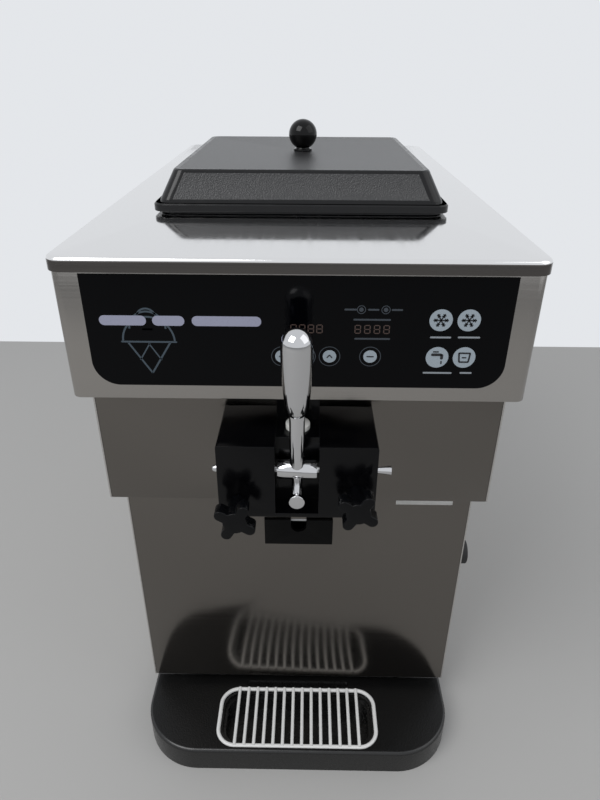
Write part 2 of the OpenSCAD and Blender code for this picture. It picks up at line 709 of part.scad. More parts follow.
pin_left = 5.7;
pin_right = 13;
module pivot_pin() color("silver") placed() {
    rod_x([-head_w / 2 - pin_left + 3, pivot_y, pivot_z], pin_d / 2, head_w + pin_left - 3 + 0.5);
    translate([-head_w / 2 - pin_left + 3.2, pivot_y, pivot_z]) sphere(3.2);
    translate([head_w / 2 + 0.4, pivot_y, pivot_z]) rotate([0, 90, 0]) cylinder(r1 = 2.9, r2 = 4.4,
            h = pin_right - 0.4, $fn = 64);
}

screw_head = 4.5;
eye_r = toe_rod_r + 0.6;
screw_tip = (slot_back - pivot_y - 0.3 - (screw_turn_r - toe[1]) * sin(pull)) / cos(pull);
module stop_screw() color("silver") lever_frame() {
    rod_y([0, toe[0] - eye_r - run_gap - screw_head, toe[1]], 7, screw_head);
    rod_y([0, toe[0] - eye_r - 1, toe[1]], screw_turn_r, screw_tip - toe[0] + eye_r + 1);
}

// ---------------------------------------------------------------- drip tray and drawer

// Plan of the drip tray: square at the back, rounded at the front
module tray_plan(inset) {
    w = half_w - inset;
    r = tray_r - inset;
    tray_back = tray_front + tray_l - inset;
    difference() {
        union() {
            translate([-w, tray_front + tray_r]) square([2 * w, tray_back - tray_front - tray_r]);
            translate([-w + r, tray_front + inset]) square([2 * w - 2 * r, tray_l - 2 * inset]);
            for (sx = [-1, 1]) translate([sx * (half_w - tray_r), tray_front + tray_r]) circle(r);
        }
        translate([-body_w, tray_back]) square([2 * body_w, body_w]);
    }
}

grille_y = tray_front + 6 + grille_l / 2;
well_w = grille_w - 20;
well_l = grille_l - 20;
seat_d = 3.5;
wire_d = 5;
module drip_tray() color("black") placed() difference() {
    union() {
        difference() {
            linear_extrude(tray_h) tray_plan(0);
            translate([0, 0, -1]) linear_extrude(tray_h - 2) tray_plan(3);
        }
        translate([0, grille_y, 1]) linear_extrude(tray_h - 2) rrect(well_w + 6, well_l + 6, 22);
        translate([0, grille_y, tray_h - seat_d - 3]) linear_extrude(seat_d + 2) rrect(grille_w + 8,
                grille_l + 4, 27);
    }
    translate([0, grille_y, 4]) linear_extrude(tray_h) rrect(well_w, well_l, 19);
    translate([0, grille_y, tray_h - seat_d]) linear_extrude(tray_h) rrect(grille_w + 2 * seat_gap,
            grille_l + 2 * seat_gap, 25.5);
    // finger recess behind the grille
    translate([0, tray_front + tray_l - 16, tray_h - 1.5]) linear_extrude(4) rrect(136, 9, 4);
}

ring_r = 22.5;
module drip_grille() color("white") placed() translate([0, grille_y, tray_h - seat_d]) {
    cx = grille_w / 2 - wire_d / 2 - ring_r;
    cy = grille_l / 2 - wire_d / 2 - ring_r;
    for (i = [0 : 3]) translate([(i == 0 || i == 3 ? 1 : -1) * cx, (i < 2 ? 1 : -1) * cy, wire_d / 2])
        rotate(i * 90) rotate_extrude(angle = 90) translate([ring_r, 0]) circle(wire_d / 2, $fn = 32);
    for (s = [-1, 1]) {
        rod_x([-cx, s * (cy + ring_r), wire_d / 2], wire_d / 2, 2 * cx);
        rod_y([s * (cx + ring_r), -cy, wire_d / 2], wire_d / 2, 2 * cy);
    }
    pitch = (grille_w - 50) / (bars - 1);
    for (i = [0 : bars - 1])
        rod_y([-(grille_w - 50) / 2 + i * pitch, -grille_l / 2 + 1.5, wire_d - 0.5], 2, grille_l - 3);
}

drawer_face = 3;
module drip_drawer() color("dimgray") placed() difference() {
    union() {
        block([-drawer_w / 2, low_back - drawer_face, drawer_z],
                [drawer_w / 2, low_back - free_gap, drawer_top]);
        block([-box_w / 2, low_back - 1, drawer_z + 3],
                [box_w / 2, low_back + drawer_l, drawer_z + 3 + box_h]);
    }
    block([-box_w / 2 + 2, low_back + 2, drawer_z + 5],
            [box_w / 2 - 2, low_back + drawer_l - 2, drawer_top]);
    // thumb notch, open at the top
    rod_y([0, low_back - drawer_face - 1, drawer_top - 8.5], 8.8, drawer_face + 4);
    block([-8.8, low_back - drawer_face - 1, drawer_top - 8.5], [8.8, low_back + 3, drawer_top + 1]);
}

module drawer_guide() color("gray") placed() difference() {
    union() {
        block([-box_w / 2 - 2, low_back + sheet, drawer_z + 1],
                [box_w / 2 + 2, low_back + drawer_l + 8, drawer_z + 5 + box_h]);
        block([-box_w / 2 - 12, low_back + sheet, drawer_z - 8],
                [box_w / 2 + 12, low_back + 2 * sheet, drawer_z + 13 + box_h]);
    }
    block([-box_w / 2 - 0.5, low_back, drawer_z + 2.5],
            [box_w / 2 + 0.5, low_back + drawer_l + 6, drawer_z + 3.5 + box_h]);
    block([-box_w / 2 + 6, low_back + drawer_l - 60, drawer_z + 10],
            [box_w / 2 - 6, low_back + drawer_l - 10, drawer_z + 20 + box_h]);
}

// ---------------------------------------------------------------- cooling

fan_y = 300;
fan_z = foot_h + 135;
cond_x = -half_w + 12;
cond_t = 36;
shroud_x = cond_x + cond_t;
shroud_t = 26;
frame_side = fan_d + 16;
module condenser() color("lightslategray") placed() {
    for (z = [fan_z - frame_side / 2, fan_z + frame_side / 2 - 2])
        block([cond_x, fan_y - frame_side / 2, z], [cond_x + cond_t, fan_y + frame_side / 2, z + 2]);
    for (i = [0 : 27])
        block([cond_x, fan_y - frame_side / 2 + i * (frame_side - 1) / 27, fan_z - frame_side / 2 + 2],
              [cond_x + cond_t, fan_y - frame_side / 2 + i * (frame_side - 1) / 27 + 1,
                      fan_z + frame_side / 2 - 2]);
    for (i = [0 : 7]) rod_y([cond_x + cond_t / 2, fan_y - frame_side / 2 - 6, fan_z - 98 + i * 28],
            pipe_d / 2, frame_side + 12);
    block([-post_x + 5, fan_y - 30, foot_h + 2], [cond_x + cond_t - 2, fan_y + 30, fan_z - frame_side / 2]);
}

module fan_shroud() color("dimgray") placed() difference() {
    block([shroud_x, fan_y - frame_side / 2, fan_z - frame_side / 2],
            [shroud_x + shroud_t, fan_y + frame_side / 2, fan_z + frame_side / 2]);
    rod_x([shroud_x - 1, fan_y, fan_z], fan_d / 2 + 2, shroud_t + 2);
}

blade_count = 5;
hub_x = shroud_x + 6;
module fan_blades() color("black") placed() translate([hub_x, fan_y, fan_z]) rotate([0, 90,
        0]) difference() {
    union() {
        cylinder(r = 24, h = 14);
        for (a = [0 : 360 / blade_count : 359]) rotate([0, 0, a])
            translate([20, 0, 7]) rotate([28, 0, 0]) translate([0, -17, -1.2])
                cube([fan_d / 2 - 26, 34, 2.4]);
    }
    translate([0, 0, 2]) cylinder(r = 3 + run_gap, h = 20);
}

fan_motor_l = 40;
module fan_motor() color("gray") placed() {
    rod_x([hub_x + 3, fan_y, fan_z], 3, 20);
    rod_x([hub_x + 22, fan_y, fan_z], 27, fan_motor_l);
    for (s = [-1, 1])
        block([shroud_x + shroud_t, s > 0 ? fan_y + 20 : fan_y - frame_side / 2, fan_z - 8],
              [shroud_x + shroud_t + 3, s > 0 ? fan_y + frame_side / 2 : fan_y - 20, fan_z + 8]);
}

comp_x = 45;
comp_y = body_d - 145;
comp_r = comp_d / 2;
suction_x = comp_x + 70;
suction_y = comp_y - comp_r - 40;
grommet_h = 14;
comp_z = foot_h + 2 + grommet_h;
comp_feet = [for (sx = [-1, 1], sy = [-1, 1]) [comp_x + sx * (comp_r - 6), comp_y + sy * (comp_r - 6)]];
module compressor() color("black") placed() {
    translate([comp_x, comp_y, comp_z]) rotate_extrude() polygon(concat(
        [[0, 4]], [[comp_r - 10, 4], [comp_r, 26], [comp_r, comp_h - 40]],
        [for (a = [10 : 10 : 90]) [comp_r * cos(a), comp_h - 40 + 40 * sin(a)]]));
    difference() {
        block([comp_x - comp_r - 2, comp_y - comp_r - 2, comp_z],
                [comp_x + comp_r + 2, comp_y + comp_r + 2, comp_z + 4]);
        for (p = comp_feet) translate([p[0], p[1], comp_z - 1]) cylinder(r = 5, h = 6);
    }
    rod_y([comp_x - 20, comp_y - comp_r - 8, comp_z + 90], pipe_d / 2, 30);
    rod_y([comp_x + 25, comp_y - comp_r - 8, comp_z + 60], pipe_d / 2, 30);
}

module compressor_grommets() color("dimgray") placed() for (p = comp_feet) translate([p[0], p[1],
        foot_h + 2]) {
    cylinder(r = 11, h = grommet_h);
    cylinder(r = 4.8, h = grommet_h + 8);
}

// Pipes between the compressor, the condenser and the evaporator, with rounded turns
function turned(a, b, c, r, n) =
    let (u = unit(a - b), v = unit(c - b))
        [for (i = [0 : n]) let (t = i / n) b + u * r * (1 - t) * (1 - t) + v * r * t * t];
function route(p, r) = concat([p[0]],
    [for (i = [1 : len(p) - 2]) each turned(p[i - 1], p[i], p[i + 1], r, 5)], [p[len(p) - 1]]);

module suction_line() color("peru") placed() swept(route([
    [comp_x - 20, comp_y - comp_r - 8.3, comp_z + 90],
    [comp_x - 20, suction_y, comp_z + 90],
    [suction_x, suction_y, comp_z + 90],
    [suction_x, suction_y, axis_z],
    [suction_x, cyl_end - 12, axis_z],
    [foam_r + 0.3, cyl_end - 12, axis_z]], 16), pipe_d / 2, 10);

module discharge_line() color("peru") placed() swept(route([
    [comp_x + 25, comp_y - comp_r - 8.3, comp_z + 60],
    [comp_x + 25, comp_y - comp_r - 26, comp_z + 60],
    [comp_x - 100, comp_y - comp_r - 26, comp_z + 60],
    [comp_x - 100, comp_y - comp_r - 26, fan_z + 98],
    [cond_x + cond_t / 2, comp_y - comp_r - 26, fan_z + 98],
    [cond_x + cond_t / 2, fan_y + frame_side / 2 + 6.3, fan_z + 98]], 14), pipe_d / 2, 10);

module filter_drier() color("peru") placed() {
    rod_y([cond_x + cond_t / 2, fan_y - frame_side / 2 - 6.3 - 55, fan_z - 98], 9, 45);
    rod_y([cond_x + cond_t / 2, fan_y - frame_side / 2 - 6.3 - 12, fan_z - 98], pipe_d / 2, 12);
}

cap_x = -post_x + 12;
cap_y = low_back + base_in + 8;
module capillary_tube() color("peru") placed() swept(route([
    [cond_x + cond_t / 2, fan_y - frame_side / 2 - 6.3 - 55.3, fan_z - 98],
    [cond_x + cond_t / 2, cap_y, fan_z - 98],
    [cap_x, cap_y, fan_z - 98],
    [cap_x, cap_y, axis_z - 20],
    [-foam_r - 0.3, cap_y, axis_z - 20]], 6), 1.6, 6);

elec_y = body_d - sheet - 62;
module electrical_box() color("gray") placed() difference() {
    block([-150, elec_y, foot_h + 34], [-70, body_d - sheet - free_gap, foot_h + 130]);
    rod_y([gland_x, elec_y + 10, gland_z], 12, 80);
}

gland_r = 4.5;
module cord_gland() color("black") placed() difference() {
    union() {
        rod_y([gland_x, body_d - 14, gland_z], 9, 16);
        rod_y([gland_x, body_d, gland_z], 13, 5);
        rod_y([gland_x, body_d + 3, gland_z], 8.5, gland_out - 3);
        rod_y([gland_x, body_d - sheet - 5.3, gland_z], 11.8, 5);
    }
    rod_y([gland_x, body_d - 20, gland_z], gland_r, 60);
}

bumper_z = 249;
module side_bumper() color("black") placed()
    rod_x([half_w, low_back + 29, bumper_z], 15, 12);

top_panel();
front_housing();
control_overlay();
control_board();
display_modules();
mid_front_panel();
lower_front_panel();
side_panel_left();
side_panel_right();
rear_panel();
base_pan();
chassis_frame();
foot_stems();
foot_pads();
panel_screws();
hopper();
hopper_collar();
hopper_lid();
lid_knob();
lid_knob_screw();
feed_tube();
freezing_cylinder();
evaporator_coil();
cylinder_insulation();
dasher_shaft();
dasher_spiral();
scraper_blades();
shaft_seal();
gearbox();
drive_motor();
motor_shelf();
front_head();
head_seal();
head_studs();
left_knob();
right_knob();
draw_piston();
piston_seals();
nozzle();
lever_arm();
lever_handle();
pivot_pin();
stop_screw();
drip_tray();
drip_grille();
drip_drawer();
drawer_guide();
compressor();
compressor_grommets();
condenser();
fan_shroud();
fan_blades();
fan_motor();
suction_line();
discharge_line();
filter_drier();
capillary_tube();
electrical_box();
cord_gland();
side_bumper();
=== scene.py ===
import json
import math

import bmesh
import bpy
from mathutils import Matrix, Vector


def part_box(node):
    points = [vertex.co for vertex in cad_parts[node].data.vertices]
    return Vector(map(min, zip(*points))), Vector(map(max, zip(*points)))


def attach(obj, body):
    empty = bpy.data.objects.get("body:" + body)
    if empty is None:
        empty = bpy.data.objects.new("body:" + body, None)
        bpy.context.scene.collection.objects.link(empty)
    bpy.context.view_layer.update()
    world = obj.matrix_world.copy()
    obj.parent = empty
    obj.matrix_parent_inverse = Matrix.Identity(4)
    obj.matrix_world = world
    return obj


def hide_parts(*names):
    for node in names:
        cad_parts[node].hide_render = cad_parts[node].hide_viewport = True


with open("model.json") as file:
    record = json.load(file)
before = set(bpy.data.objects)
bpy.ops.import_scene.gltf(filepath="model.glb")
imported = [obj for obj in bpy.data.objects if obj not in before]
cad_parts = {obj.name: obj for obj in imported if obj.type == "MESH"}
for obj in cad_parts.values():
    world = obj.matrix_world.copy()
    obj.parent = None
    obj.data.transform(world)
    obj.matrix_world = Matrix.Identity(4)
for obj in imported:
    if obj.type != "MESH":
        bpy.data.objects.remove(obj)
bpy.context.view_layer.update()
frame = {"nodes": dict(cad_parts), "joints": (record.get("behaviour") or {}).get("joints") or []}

# ------------------------------------------------------------------ camera
# Eye height and distance of someone standing right in front of the machine and looking down on it.
face_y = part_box("front_housing")[0].y
top_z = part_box("top_panel")[1].z
camera = bpy.data.objects.new("camera", bpy.data.cameras.new("camera"))
bpy.context.scene.collection.objects.link(camera)
camera.data.lens = 28.1
camera.data.sensor_width = 36
camera.location = (0.0080, face_y - 0.4707, top_z + 0.1353)
camera.rotation_euler = (
    Matrix.Rotation(math.radians(0.73), 4, "Z")
    @ Matrix.Rotation(math.radians(90 - 28.85), 4, "X")
    @ Matrix.Rotation(math.radians(0.28), 4, "Z")
).to_euler()
bpy.context.scene.camera = camera


# ------------------------------------------------------------------ base, frame and feet
# A folded zinc-coated pan, welded square posts with rails, and four levelling feet.
# The feet are plated steel cups, screwed through the pan, that stand on black rubber pads.
def shader(name, color, roughness, metallic=0.0, coat=0.0, specular=0.5):
    """A new material with its plain values set on the shader itself; gives back the material."""
    material = bpy.data.materials.new(name)
    material.use_nodes = True
    bsdf = material.node_tree.nodes["Principled BSDF"]
    bsdf.inputs["Base Color"].default_value = (*color, 1)
    bsdf.inputs["Roughness"].default_value = roughness
    bsdf.inputs["Metallic"].default_value = metallic
    bsdf.inputs["Coat Weight"].default_value = coat
    bsdf.inputs["Specular IOR Level"].default_value = specular
    return material


def noise(material, scale, detail=3.0, stretch=(1, 1, 1)):
    """A noise pattern on the object's own coordinates, drawn out along an axis by stretch."""
    tree = material.node_tree
    coords = tree.nodes.new("ShaderNodeTexCoord")
    mapping = tree.nodes.new("ShaderNodeMapping")
    mapping.inputs["Scale"].default_value = stretch
    pattern = tree.nodes.new("ShaderNodeTexNoise")
    pattern.inputs["Scale"].default_value = scale
    pattern.inputs["Detail"].default_value = detail
    tree.links.new(coords.outputs["Object"], mapping.inputs["Vector"])
    tree.links.new(mapping.outputs["Vector"], pattern.inputs["Vector"])
    return pattern.outputs["Fac"]


def ranged(material, pattern, low, high, start=0.3, end=0.7):
    """The pattern turned into a value between low and high."""
    tree = material.node_tree
    node = tree.nodes.new("ShaderNodeMapRange")
    node.inputs["From Min"].default_value = start
    node.inputs["From Max"].default_value = end
    node.inputs["To Min"].default_value = low
    node.inputs["To Max"].default_value = high
    tree.links.new(pattern, node.inputs["Value"])
    return node.outputs["Result"]


def vary_roughness(material, pattern, low, high, start=0.3, end=0.7):
    tree = material.node_tree
    tree.links.new(ranged(material, pattern, low, high, start, end),
                   tree.nodes["Principled BSDF"].inputs["Roughness"])


def vary_color(material, pattern, dark, light, start=0.3, end=0.7):
    """The base colour runs from dark to light with the pattern."""
    tree = material.node_tree
    mix = tree.nodes.new("ShaderNodeMix")
    mix.data_type = "RGBA"
    mix.inputs["A"].default_value = (*dark, 1)
    mix.inputs["B"].default_value = (*light, 1)
    tree.links.new(ranged(material, pattern, 0, 1, start, end), mix.inputs["Factor"])
    tree.links.new(mix.outputs["Result"], tree.nodes["Principled BSDF"].inputs["Base Color"])


def emboss(material, pattern, depth, strength=1.0):
    """The pattern as relief, depth in metres."""
    tree = material.node_tree
    bump = tree.nodes.new("ShaderNodeBump")
    bump.inputs["Distance"].default_value = depth
    bump.inputs["Strength"].default_value = strength
    tree.links.new(pattern, bump.inputs["Height"])
    tree.links.new(bump.outputs["Normal"], tree.nodes["Principled BSDF"].inputs["Normal"])


def dress(material, *names):
    """Gives CAD nodes their finish."""
    for name in names:
        mesh = frame["nodes"][name].data
        mesh.materials.clear()
        mesh.materials.append(material)


zinc = shader("zinc_coat", (0.50, 0.51, 0.52), 0.42, metallic=0.9)
vary_roughness(zinc, noise(zinc, 60, 4), 0.32, 0.52)
vary_color(zinc, noise(zinc, 35, 2), (0.44, 0.45, 0.46), (0.58, 0.59, 0.60))
dress(zinc, "base_pan", "chassis_frame", "motor_shelf", "electrical_box", "drawer_guide")

plated = shader("plated_steel", (0.66, 0.66, 0.65), 0.22, metallic=1.0)
vary_roughness(plated, noise(plated, 90, 3), 0.16, 0.30)
dress(plated, "foot_stems", "panel_screws", "head_studs", "lid_knob_screw")

rubber = shader("black_rubber", (0.018, 0.018, 0.019), 0.62)
emboss(rubber, noise(rubber, 900, 2), 0.00008)
dress(rubber, "foot_pads", "compressor_grommets", "head_seal", "piston_seals", "shaft_seal", "side_bumper", "hopper_collar")


# ------------------------------------------------------------------ refrigeration
# Hermetic compressor on rubber mounts, finned condenser with its shroud and axial fan, copper
# lines brazed between them, and the filter-drier and capillary that feed the evaporator.
black_enamel = shader("black_enamel", (0.022, 0.022, 0.024), 0.32)
vary_roughness(black_enamel, noise(black_enamel, 120, 3), 0.26, 0.42)
emboss(black_enamel, noise(black_enamel, 400, 2), 0.00005)
dress(black_enamel, "compressor", "drive_motor", "fan_motor")

fin_metal = shader("condenser_fins", (0.62, 0.64, 0.66), 0.34, metallic=1.0)
vary_color(fin_metal, noise(fin_metal, 45, 3), (0.50, 0.52, 0.54), (0.70, 0.71, 0.72))
dress(fin_metal, "condenser")

duct_plastic = shader("duct_plastic", (0.03, 0.03, 0.032), 0.5)
emboss(duct_plastic, noise(duct_plastic, 700, 2), 0.00006)
dress(duct_plastic, "fan_shroud", "fan_blades", "cord_gland")

copper = shader("copper_tube", (0.72, 0.36, 0.21), 0.3, metallic=1.0)
vary_color(copper, noise(copper, 50, 3), (0.52, 0.24, 0.13), (0.78, 0.42, 0.26))
dress(copper, "evaporator_coil", "suction_line", "discharge_line", "capillary_tube", "filter_drier")


# ------------------------------------------------------------------ freezing cylinder and drive
# Welded stainless cylinder with its beater, wrapped in copper coil and poured foam, and driven
# from behind through a cast gearbox by a finned motor.
satin_steel = shader("satin_steel", (0.70, 0.69, 0.67), 0.3, metallic=1.0)
vary_roughness(satin_steel, noise(satin_steel, 30, 4, (1, 20, 20)), 0.24, 0.38)
dress(satin_steel, "freezing_cylinder", "dasher_shaft", "dasher_spiral", "hopper")

foam = shader("poured_foam", (0.74, 0.64, 0.38), 0.85)
emboss(foam, noise(foam, 160, 5), 0.0012)
vary_color(foam, noise(foam, 70, 3), (0.66, 0.54, 0.30), (0.80, 0.71, 0.46))
dress(foam, "cylinder_insulation")

gear_casting = shader("gear_casting", (0.20, 0.22, 0.25), 0.55, metallic=0.3)
emboss(gear_casting, noise(gear_casting, 300, 4), 0.0003)
dress(gear_casting, "gearbox")

white_plastic = shader("white_plastic", (0.80, 0.80, 0.77), 0.38)
vary_roughness(white_plastic, noise(white_plastic, 200, 3), 0.32, 0.46)
dress(white_plastic, "scraper_blades", "feed_tube")


# ------------------------------------------------------------------ casing panels
# Folded brushed stainless sheet with small bend radii: sides and back, the lower front and the
# middle front, all polished along X or Z so that what stands before them shows as a soft mirror.
def brushed(name, color, grain, low, high):
    """Stainless with fine hairlines along one axis; grain is the pattern's stretch."""
    material = shader(name, color, 0.25, metallic=1.0)
    hairlines = noise(material, 4, 6, grain)
    vary_roughness(material, hairlines, low, high)
    emboss(material, hairlines, 0.00002, 0.35)
    return material


def piece(name, mesh_maker, material, body, node=None):
    """Turns a finished bmesh into an object that rides on a body and may stand for a CAD node."""
    mesh = bpy.data.meshes.new(name)
    bmesh.ops.recalc_face_normals(mesh_maker, faces=mesh_maker.faces)
    mesh_maker.to_mesh(mesh)
    mesh_maker.free()
    mesh.materials.append(material)
    obj = bpy.data.objects.new(name, mesh)
    bpy.context.scene.collection.objects.link(obj)
    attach(obj, body)
    if node:
        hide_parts(node)
    return obj


def eased(node, radius, material, body, segments=3, angle=28):
    """A copy of a CAD node with its edges broken by a small radius, as folding or moulding leaves them."""
    edit = bmesh.new()
    edit.from_mesh(frame["nodes"][node].data)
    bmesh.ops.remove_doubles(edit, verts=edit.verts, dist=1e-6)
    bmesh.ops.dissolve_limit(edit, angle_limit=math.radians(1), verts=edit.verts, edges=edit.edges)
    for face in edit.faces:
        face.smooth = True
    obj = piece(node + "_eased", edit, material, body, node)
    bevel = obj.modifiers.new("edges", "BEVEL")
    bevel.width = radius
    bevel.segments = segments
    bevel.limit_method = "ANGLE"
    bevel.angle_limit = math.radians(angle)
    bevel.harden_normals = True
    return obj


# The lower and middle fronts' stainless is painted far darker than the sides' (0.56): painted shade for the dark room
# it mirrors.
front_steel_painted_shade = brushed("front_steel_painted_shade", (0.175, 0.162, 0.148), (1, 40, 260), 0.13, 0.21)
side_steel = brushed("side_steel", (0.56, 0.545, 0.525), (40, 1, 260), 0.2, 0.32)
dress(side_steel, "side_panel_left", "side_panel_right")
rear_steel = brushed("rear_steel", (0.56, 0.545, 0.525), (1, 40, 260), 0.2, 0.32)
dress(rear_steel, "rear_panel")
eased("lower_front_panel", 0.0008, front_steel_painted_shade, "machine")
eased("mid_front_panel", 0.0012, front_steel_painted_shade, "machine")


# ------------------------------------------------------------------ control housing and overlay
# A folded stainless hood over the electronics. A printed black polyester overlay is stuck on its
# face: it covers the keys and the windows of two digit displays on the board behind.
# The hood's stainless is painted darker than the sides': painted shade for the dark room its face mirrors.
hood_steel_painted_shade = brushed("hood_steel_painted_shade", (0.40, 0.382, 0.36), (1, 40, 260), 0.14, 0.24)
eased("front_housing", 0.0012, hood_steel_painted_shade, "machine")

overlay_black = shader("overlay_black", (0.0008, 0.0009, 0.0015), 0.07, specular=0.12)
vary_roughness(overlay_black, noise(overlay_black, 25, 3), 0.05, 0.10)
dress(overlay_black, "control_overlay")

board_green = shader("board_green", (0.02, 0.14, 0.05), 0.4)
vary_color(board_green, noise(board_green, 140, 2), (0.015, 0.11, 0.04), (0.03, 0.19, 0.08))
dress(board_green, "control_board")
display_dark = shader("display_dark", (0.02, 0.012, 0.009), 0.3)
vary_roughness(display_dark, noise(display_dark, 300, 2), 0.25, 0.4)
dress(display_dark, "display_modules")

overlay_low, overlay_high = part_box("control_overlay")
print_y = overlay_low.y
ink_t = 0.00012



def stamp(ink, motif, x, z, level=0, turn=0.0):
    """Sets a motif down on the overlay: x across from the middle and z up from the worktop, in millimetres."""
    bmesh.ops.rotate(motif, matrix=Matrix.Rotation(math.radians(turn), 3, "Y"), verts=motif.verts)
    bmesh.ops.translate(motif, vec=(x / 1000, print_y - (level + 0.5) * ink_t, z / 1000), verts=motif.verts)
    carrier = bpy.data.meshes.new("motif")
    motif.to_mesh(carrier)
    motif.free()
    ink.from_mesh(carrier)
    bpy.data.meshes.remove(carrier)


def disc(radius, sides=40):
    motif = bmesh.new()
    bmesh.ops.create_cone(motif, cap_ends=True, segments=sides, radius1=radius / 1000, radius2=radius / 1000,
                          depth=ink_t, matrix=Matrix.Rotation(math.pi / 2, 4, "X"))
    return motif


def bar(width, height):
    """A flat bar whose corners are fully rounded."""
    motif = bmesh.new()
    bmesh.ops.create_cube(motif, size=1, matrix=Matrix.Diagonal((width / 1000, ink_t, height / 1000, 1)))
    corners = [e for e in motif.edges if abs(e.verts[0].co.y - e.verts[1].co.y) > ink_t / 2]
    bmesh.ops.bevel(motif, geom=corners, offset=0.48 * min(width, height) / 1000, affect="EDGES",
                    segments=5, profile=0.5, material=-1)
    return motif


def band(outer, inner, start=0.0, sweep=360.0):
    """A ring, or part of one: its section is spun about the axis that points out of the overlay."""
    motif = bmesh.new()
    section = [motif.verts.new((radius / 1000, y, 0))
               for radius, y in ((inner, -ink_t / 2), (outer, -ink_t / 2), (outer, ink_t / 2), (inner, ink_t / 2))]
    edges = [motif.edges.new(pair) for pair in zip(section, section[1:] + section[:1])]
    bmesh.ops.rotate(motif, matrix=Matrix.Rotation(math.radians(start), 3, "Y"), verts=section)
    bmesh.ops.spin(motif, geom=section + edges, axis=(0, 1, 0), cent=(0, 0, 0), angle=math.radians(sweep),
                   steps=int(sweep / 8), use_merge=sweep >= 360)
    if sweep < 360:
        bmesh.ops.holes_fill(motif, edges=[e for e in motif.edges if e.is_boundary])
    return motif


def printed(name, ink, color, roughness=0.3):
    material = shader(name, color, roughness)
    vary_roughness(material, noise(material, 400, 2), roughness - 0.04, roughness + 0.06)
    return piece(name, ink, material, "machine")


# Large key discs, ringed key discs and the marks beside the displays
keys = bmesh.new()
for x, z in ((114.6, 603.6), (137, 603.7), (114.9, 571), (137.1, 571.1)):
    stamp(keys, disc(9.3), x, z)
for x, z in ((-13.1, 570.5), (5.9, 570.6), (26.2, 570.9), (59.7, 571.1)):
    stamp(keys, disc(5.6), x, z)
printed("key_discs", keys, (0.36, 0.42, 0.47))

# Captions under the keys, as plain bars
captions = bmesh.new()
for x, z, width in ((115.8, 588.8, 17), (138.8, 589, 18), (116.5, 556.8, 24), (140.2, 557, 10)):
    stamp(captions, bar(width, 1.5), x, z)
printed("key_captions", captions, (0.30, 0.33, 0.36))
marks = bmesh.new()
for x, z in ((-13.1, 570.5), (5.9, 570.6), (26.2, 570.9), (59.7, 571.1)):
    stamp(marks, band(8.9, 8.3), x, z)
for x in (50.5, 70):
    stamp(marks, band(3.6, 3), x, 612)
    stamp(marks, disc(1.8), x, 612)
for x, z, width in ((42, 612, 10), (60.2, 612, 9), (79, 612, 9), (59.5, 603.5, 30), (60.5, 587, 29)):
    stamp(marks, bar(width, 1.5), x, z)
printed("faint_marks", marks, (0.045, 0.055, 0.068))

# Dark pictograms on the discs: two snow crystals, a tap and a tub
signs = bmesh.new()
for x, z in ((114.6, 603.6), (137, 603.7)):
    for turn in (0, 60, 120):
        stamp(signs, bar(12.5, 1.1), x, z, 1, turn)
        for side in (-1, 1):
            reach = Matrix.Rotation(math.radians(turn), 3, "Y") @ Vector((side * 4.2, 0, 0))
            for lean in (-50, 50):
                stamp(signs, bar(3.6, 0.9), x + reach.x, z + reach.z, 1, turn + lean)
stamp(signs, bar(9, 2.4), 114.2, 573.4, 1)
stamp(signs, bar(2.4, 5), 118.6, 571.6, 1)
stamp(signs, bar(5, 1.2), 113.4, 576, 1)
stamp(signs, bar(1.2, 3), 118.6, 566.4, 1)
stamp(signs, bar(10, 1.4), 137.1, 575, 1)
stamp(signs, bar(8, 1.4), 137.1, 567, 1)
for side in (-1, 1):
    stamp(signs, bar(1.4, 8.6), 137.1 + side * 4.2, 571, 1, side * 6)
stamp(signs, bar(4, 1.1), 137.1, 571, 1)
stamp(signs, bar(5, 1), -13.1, 570.5, 1)
stamp(signs, bar(5, 1), 5.9, 570.6, 1)
stamp(signs, bar(1, 5), 5.9, 570.6, 1)
for side in (-1, 1):
    stamp(signs, bar(3.6, 1), 26.2 + side * 1.1, 570.9, 1, side * 50)
stamp(signs, bar(6, 1.1), 59.7, 571.1, 1)
printed("key_signs", signs, (0.015, 0.016, 0.02))

# A cornet in plain lines, and plain bars where a name would stand
lines = bmesh.new()
for radius, z in ((22, 583), (15.5, 594), (8.5, 603.5)):
    stamp(lines, band(radius, radius - 1.5, 180, 180), -122, z)
for width, z in ((46, 582.4), (9, 593.4), (9, 593.4)):
    stamp(lines, bar(width, 1.5), -122, z)
for side in (-1, 1):
    stamp(lines, bar(33, 1.5), -122 + side * 8.7, 568, 0, -side * 58)
    stamp(lines, bar(18, 1.1), -122 + side * 4.2, 573.6, 0, side * 58)
printed("cornet_lines", lines, (0.055, 0.078, 0.10))

word_bars = bmesh.new()
for x, width in ((-141.5, 38), (-104.5, 26), (-57.5, 56)):
    stamp(word_bars, bar(width, 8.5), x, 601, 1)
printed("plain_bars", word_bars, (0.34, 0.35, 0.46))

# Unlit four-digit displays that show faintly through their windows
digits = bmesh.new()
for node_x, width in ((7, 28), (60, 31)):
    pitch = width / 4
    for place in range(4):
        x = node_x + (place - 1.5) * pitch
        for z in (-3.4, 0, 3.4):
            stamp(digits, bar(3.6, 0.8), x, 595.2 + z)
        for side in (-1, 1):
            for z in (-1.7, 1.7):
                stamp(digits, bar(0.8, 3), x + side * 2.2, 595.2 + z)
printed("display_digits", digits, (0.075, 0.048, 0.04))


